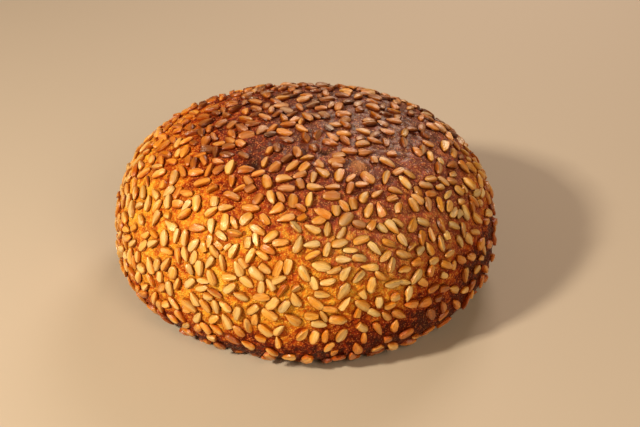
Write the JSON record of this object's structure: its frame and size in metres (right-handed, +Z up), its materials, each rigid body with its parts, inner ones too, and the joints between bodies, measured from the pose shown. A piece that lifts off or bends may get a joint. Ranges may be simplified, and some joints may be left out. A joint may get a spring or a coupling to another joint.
{
  "type": "sourdough loaf",
  "caption": "Round, uncut sourdough loaf with a domed, blistered crust baked all over with sunflower kernels, and a flat base to rest on.",
  "frame": {"origin": "middle of the loaf's outer box, at the level of its flat base", "axes": "+Z up from the base to the crown, +X to the right along the loaf's widest direction, -Y towards the side that the picture shows"},
  "size_m": [0.2111, 0.1907, 0.0969],
  "materials": {
    "crust": "baked, golden to dark brown, fine blisters, satin",
    "kernel": "toasted sunflower kernel, golden cream to brown, satin"
  },
  "bodies": {
    "root": {"loaf": "crust"}
  },
  "joints": []
}
